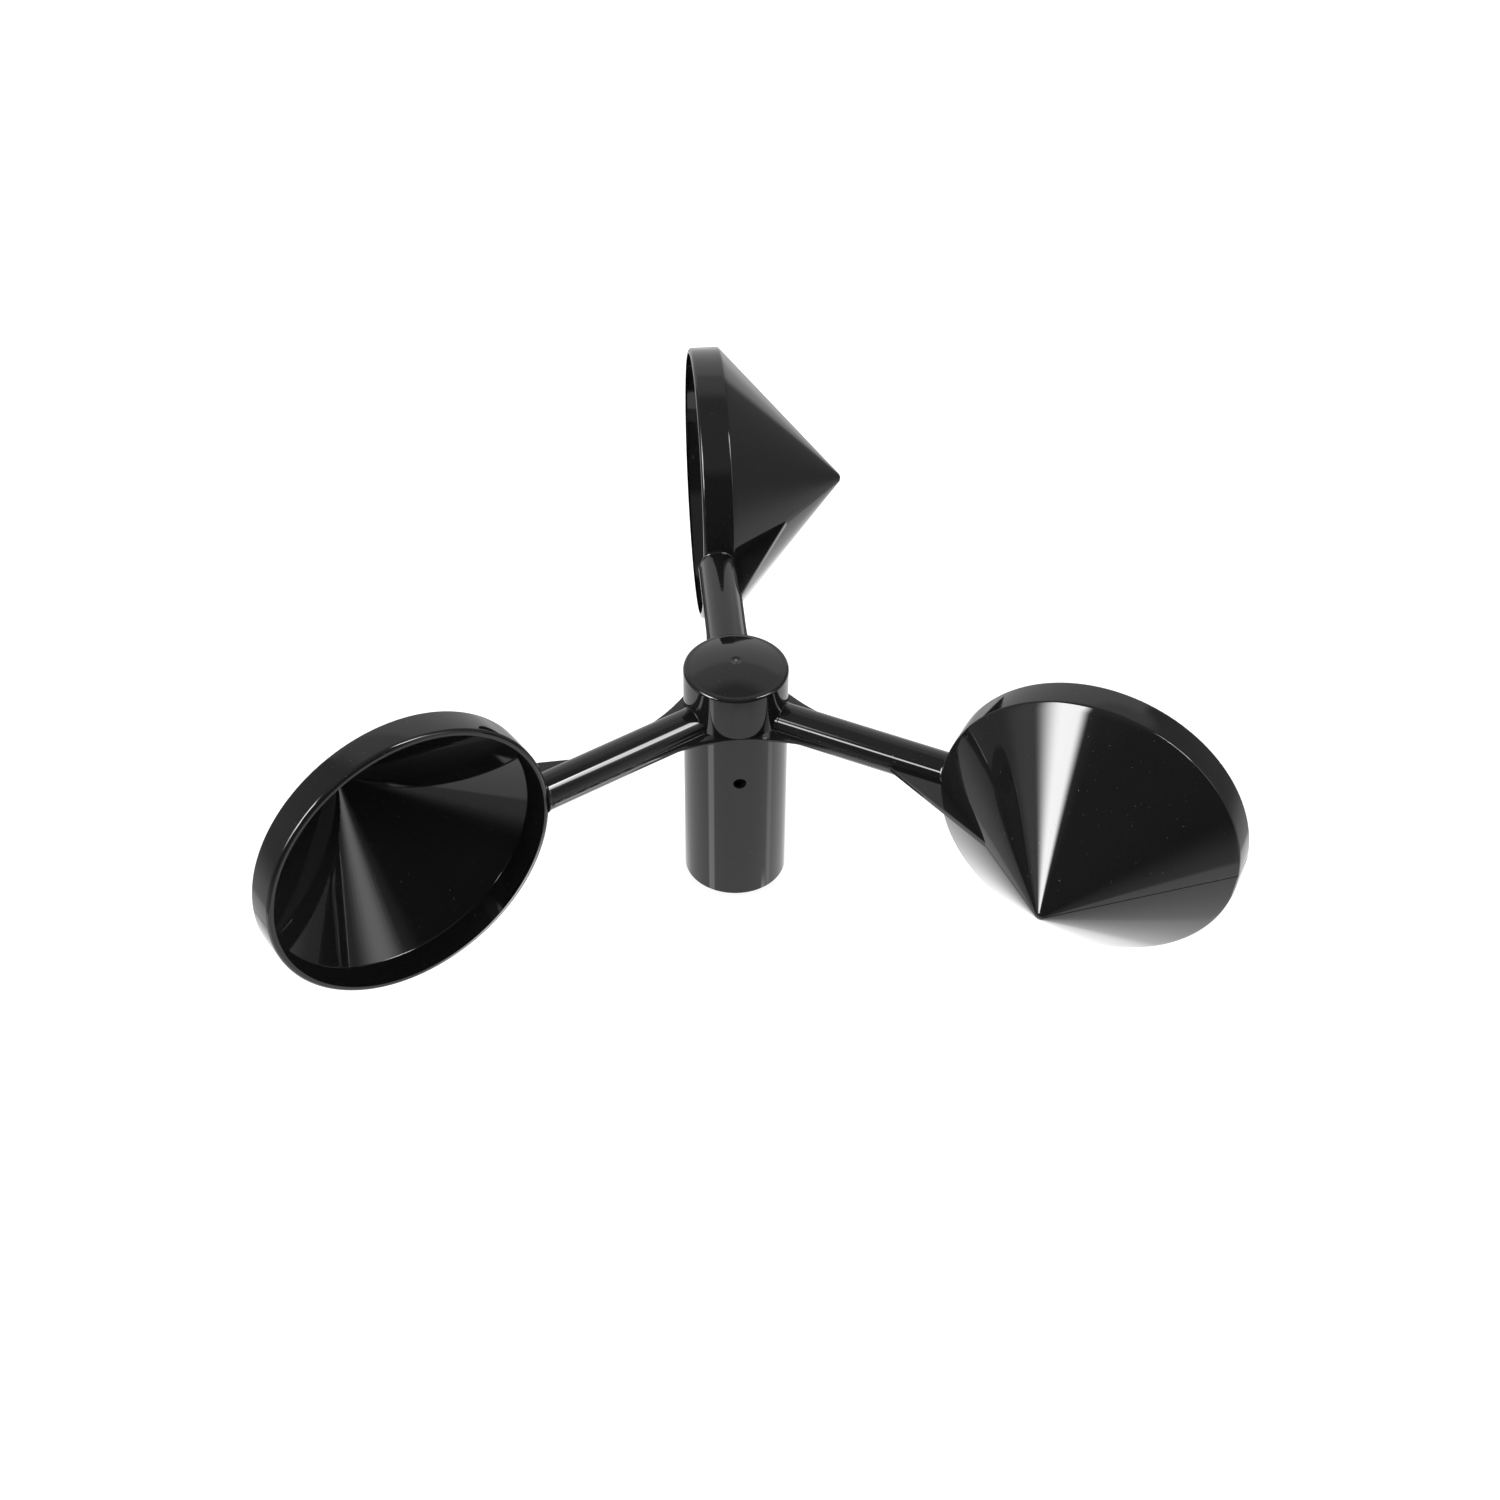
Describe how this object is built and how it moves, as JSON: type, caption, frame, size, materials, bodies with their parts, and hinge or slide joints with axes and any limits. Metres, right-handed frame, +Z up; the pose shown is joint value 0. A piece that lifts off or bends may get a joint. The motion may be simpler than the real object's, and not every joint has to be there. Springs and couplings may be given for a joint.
{
  "type": "cup anemometer",
  "caption": "Small cup anemometer wheel: conical cups on round arms, hub with a long sleeve that turns on a short ball-bearing spindle.",
  "frame": {"origin": "centre of the underside of the spindle's foot, at the mouth of its tapped hole", "axes": "+Z up the spin axis towards the domed hub, +Y along the rear arm, cups' mouths face counter-clockwise seen from above"},
  "size_m": [0.0621, 0.0564, 0.0249],
  "materials": {
    "black_abs": "high gloss as moulded, with a fine parting line",
    "bearing_steel": "ground bright, fine turning marks",
    "ball_steel": "polished",
    "cage_brass": "pressed, satin",
    "shield_steel": "pressed, satin",
    "spindle_steel": "ground, fine turning marks",
    "spacer_aluminium": "turned, satin",
    "blackened_steel": "chemically blackened steel: the clip and the pin",
    "bonded_magnet": "plastic-bonded ferrite, matt dark grey",
    "bush_plastic": "turned acetal, satin"
  },
  "bodies": {
    "spindle_post": {"spindle": "spindle_steel", "lower_bearing_inner_ring": "bearing_steel", "upper_bearing_inner_ring": "bearing_steel", "inner_spacer": "spacer_aluminium", "retaining_clip": "blackened_steel"},
    "rotor": {"hub_sleeve": "black_abs", "arm_rear": "black_abs", "arm_left": "black_abs", "arm_right": "black_abs", "cup_rear": "black_abs", "cup_left": "black_abs", "cup_right": "black_abs", "lower_bearing_outer_ring": "bearing_steel", "lower_bearing_shield_top": "shield_steel", "lower_bearing_shield_bottom": "shield_steel", "upper_bearing_outer_ring": "bearing_steel", "upper_bearing_shield_top": "shield_steel", "upper_bearing_shield_bottom": "shield_steel", "outer_spacer": "spacer_aluminium", "spacer_pin": "blackened_steel", "magnet_ring": "bonded_magnet", "end_bush": "bush_plastic"},
    "lower_cage": {"lower_bearing_balls": "ball_steel", "lower_bearing_cage": "cage_brass"},
    "upper_cage": {"upper_bearing_balls": "ball_steel", "upper_bearing_cage": "cage_brass"}
  },
  "joints": [
    {"name": "rotor_spin", "type": "hinge", "parent": "spindle_post", "child": "rotor", "pos_m": [0, 0, 0.01495], "axis": [0, 0, 1], "continuous": true},
    {"name": "lower_cage_spin", "type": "hinge", "parent": "spindle_post", "child": "lower_cage", "pos_m": [0, 0, 0.00545], "axis": [0, 0, 1], "continuous": true},
    {"name": "upper_cage_spin", "type": "hinge", "parent": "spindle_post", "child": "upper_cage", "pos_m": [0, 0, 0.0147], "axis": [0, 0, 1], "continuous": true}
  ],
  "couplings": [
    {"joint": "lower_cage_spin", "follows": "rotor_spin", "ratio": 0.61429},
    {"joint": "upper_cage_spin", "follows": "rotor_spin", "ratio": 0.61429}
  ]
}
